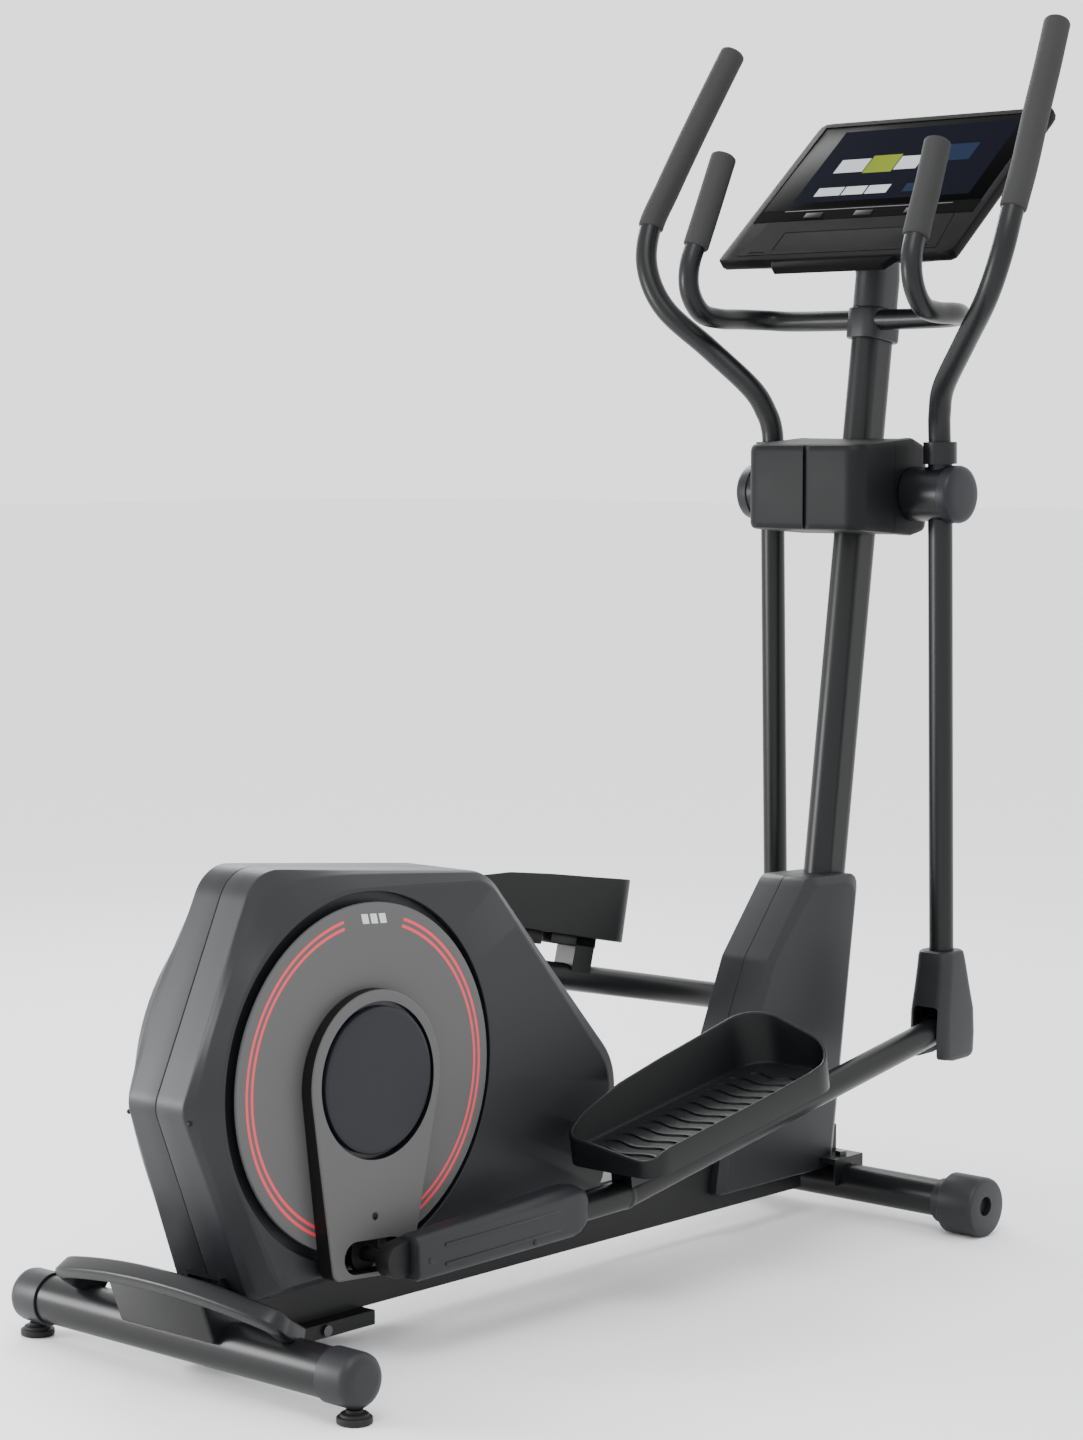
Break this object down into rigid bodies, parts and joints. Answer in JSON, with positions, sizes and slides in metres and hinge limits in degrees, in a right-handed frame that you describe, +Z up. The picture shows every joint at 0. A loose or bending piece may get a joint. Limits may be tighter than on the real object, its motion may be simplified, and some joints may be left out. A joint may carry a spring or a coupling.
{
  "type": "elliptical trainer",
  "caption": "Elliptical trainer: rear crank discs in a moulded housing, ribbed pedals on foot links, swinging and fixed handlebars, leaning post and a tilted display console.",
  "frame": {"origin": "on the floor, under the centre of the machine's bounding box", "axes": "+X is the user's right, +Y is forward, towards the console, +Z is up"},
  "size_m": [0.682, 1.5689, 1.6975],
  "materials": {
    "frame_paint": "satin black powder coat",
    "grey_plastic": "mid grey moulded plastic, satin",
    "cap_plastic": "dark grey moulded plastic, fine texture",
    "grip_foam": "textured foam rubber grip",
    "steel": "turned steel",
    "flywheel_iron": "machined cast iron",
    "belt_rubber": "matt ribbed belt",
    "foot_rubber": "matt black rubber",
    "display_glass": "glossy black display panel",
    "button_plastic": "satin keys",
    "inlet_plastic": "black plastic jack",
    "pedal_plastic": "charcoal ribbed foot tray",
    "shell_plastic": "charcoal moulded covers, fine texture"
  },
  "bodies": {
    "root": {"main_frame": "frame_paint", "rear_stabilizer": "frame_paint", "rear_end_caps": "shell_plastic", "lift_handle": "frame_paint", "front_stabilizer": "frame_paint", "front_wheel_housings": "shell_plastic", "upright_post": "frame_paint", "left_post_shroud": "shell_plastic", "right_post_shroud": "shell_plastic", "pod_rear_cover": "shell_plastic", "pod_front_cover": "shell_plastic", "pivot_axle": "steel", "left_drive_cover": "shell_plastic", "right_drive_cover": "shell_plastic", "fixed_handlebar": "frame_paint", "fixed_grips": "grip_foam", "handlebar_clamp": "shell_plastic", "console_front": "shell_plastic", "console_back": "shell_plastic", "console_display": "display_glass", "crank_bearings": "steel", "brake_magnets": "steel", "idler_arm": "frame_paint", "resistance_motor": "shell_plastic", "drive_belt": "belt_rubber", "power_inlet": "inlet_plastic", "frame_bolts": "steel"},
    "crank": {"crank_axle": "steel", "drive_pulley": "cap_plastic", "crank_arms": "frame_paint", "crank_discs": "grey_plastic", "left_crank_cover": "grey_plastic", "right_crank_cover": "grey_plastic", "hub_caps": "cap_plastic"},
    "flywheel": {"flywheel": "flywheel_iron", "flywheel_axle": "steel"},
    "idler": {"idler_pulley": "cap_plastic"},
    "left_swing_arm": {"left_swing_arm": "frame_paint", "left_handlebar": "frame_paint", "left_grip": "grip_foam", "left_pivot_cap": "cap_plastic", "left_boot": "shell_plastic"},
    "left_foot_link": {"left_foot_link": "frame_paint", "left_link_cover": "shell_plastic", "left_pedal": "pedal_plastic"},
    "left_wheel": {"left_wheel": "foot_rubber"},
    "left_levelling_foot": {"left_levelling_foot": "foot_rubber"},
    "right_swing_arm": {"right_swing_arm": "frame_paint", "right_handlebar": "frame_paint", "right_grip": "grip_foam", "right_pivot_cap": "cap_plastic", "right_boot": "shell_plastic"},
    "right_foot_link": {"right_foot_link": "frame_paint", "right_link_cover": "shell_plastic", "right_pedal": "pedal_plastic"},
    "right_wheel": {"right_wheel": "foot_rubber"},
    "right_levelling_foot": {"right_levelling_foot": "foot_rubber"},
    "start_button": {"start_button": "button_plastic"},
    "resistance_up_button": {"resistance_up_button": "button_plastic"},
    "resistance_down_button": {"resistance_down_button": "button_plastic"}
  },
  "joints": [
    {"name": "crank_turn", "type": "hinge", "parent": "root", "child": "crank", "pos_m": [0, -0.5074, 0.338], "axis": [1, 0, 0], "range_deg": [0, 90]},
    {"name": "flywheel_spin", "type": "hinge", "parent": "root", "child": "flywheel", "pos_m": [0, -0.2024, 0.28], "axis": [1, 0, 0], "range_deg": [0, 614]},
    {"name": "idler_spin", "type": "hinge", "parent": "root", "child": "idler", "pos_m": [0, -0.30235, 0.21193], "axis": [1, 0, 0], "range_deg": [-795, 0]},
    {"name": "right_swing", "type": "hinge", "parent": "root", "child": "right_swing_arm", "pos_m": [0.151, 0.5811, 1.03], "axis": [1, 0, 0], "range_deg": [-14.7, 18.3]},
    {"name": "right_link_turn", "type": "hinge", "parent": "right_swing_arm", "child": "right_foot_link", "pos_m": [0.151, 0.5976, 0.262], "axis": [1, 0, 0], "range_deg": [-29.9, 7.8]},
    {"name": "left_swing", "type": "hinge", "parent": "root", "child": "left_swing_arm", "pos_m": [-0.151, 0.5811, 1.03], "axis": [1, 0, 0], "range_deg": [-14.7, 18.3]},
    {"name": "left_link_turn", "type": "hinge", "parent": "left_swing_arm", "child": "left_foot_link", "pos_m": [-0.151, 0.5976, 0.262], "axis": [1, 0, 0], "range_deg": [-8.2, 29.5]},
    {"name": "right_wheel_roll", "type": "hinge", "parent": "root", "child": "right_wheel", "pos_m": [0.281, 0.5036, 0.029], "axis": [1, 0, 0], "continuous": true},
    {"name": "left_wheel_roll", "type": "hinge", "parent": "root", "child": "left_wheel", "pos_m": [-0.281, 0.5036, 0.029], "axis": [1, 0, 0], "continuous": true},
    {"name": "right_foot_screw", "type": "hinge", "parent": "root", "child": "right_levelling_foot", "pos_m": [0.279, -0.7244, 0.03], "axis": [0, 0, 1], "continuous": true},
    {"name": "left_foot_screw", "type": "hinge", "parent": "root", "child": "left_levelling_foot", "pos_m": [-0.279, -0.7244, 0.03], "axis": [0, 0, 1], "continuous": true},
    {"name": "start_press", "type": "slide", "parent": "root", "child": "start_button", "axis": [0, 0.6494, -0.7604], "range_m": [0, 0.0014], "stiffness_N_per_m": 400},
    {"name": "resistance_up_press", "type": "slide", "parent": "root", "child": "resistance_up_button", "axis": [0, 0.6494, -0.7604], "range_m": [0, 0.0014], "stiffness_N_per_m": 400},
    {"name": "resistance_down_press", "type": "slide", "parent": "root", "child": "resistance_down_button", "axis": [0, 0.6494, -0.7604], "range_m": [0, 0.0014], "stiffness_N_per_m": 400}
  ],
  "couplings": [
    {"joint": "flywheel_spin", "follows": "crank_turn", "ratio": 6.8182},
    {"joint": "idler_spin", "follows": "crank_turn", "ratio": -8.8235},
    {"joint": "right_swing", "follows": "crank_turn", "ratio": 0.19783},
    {"joint": "right_link_turn", "follows": "crank_turn", "ratio": -0.28559},
    {"joint": "left_swing", "follows": "crank_turn", "ratio": -0.15956},
    {"joint": "left_link_turn", "follows": "crank_turn", "ratio": 0.28377}
  ]
}
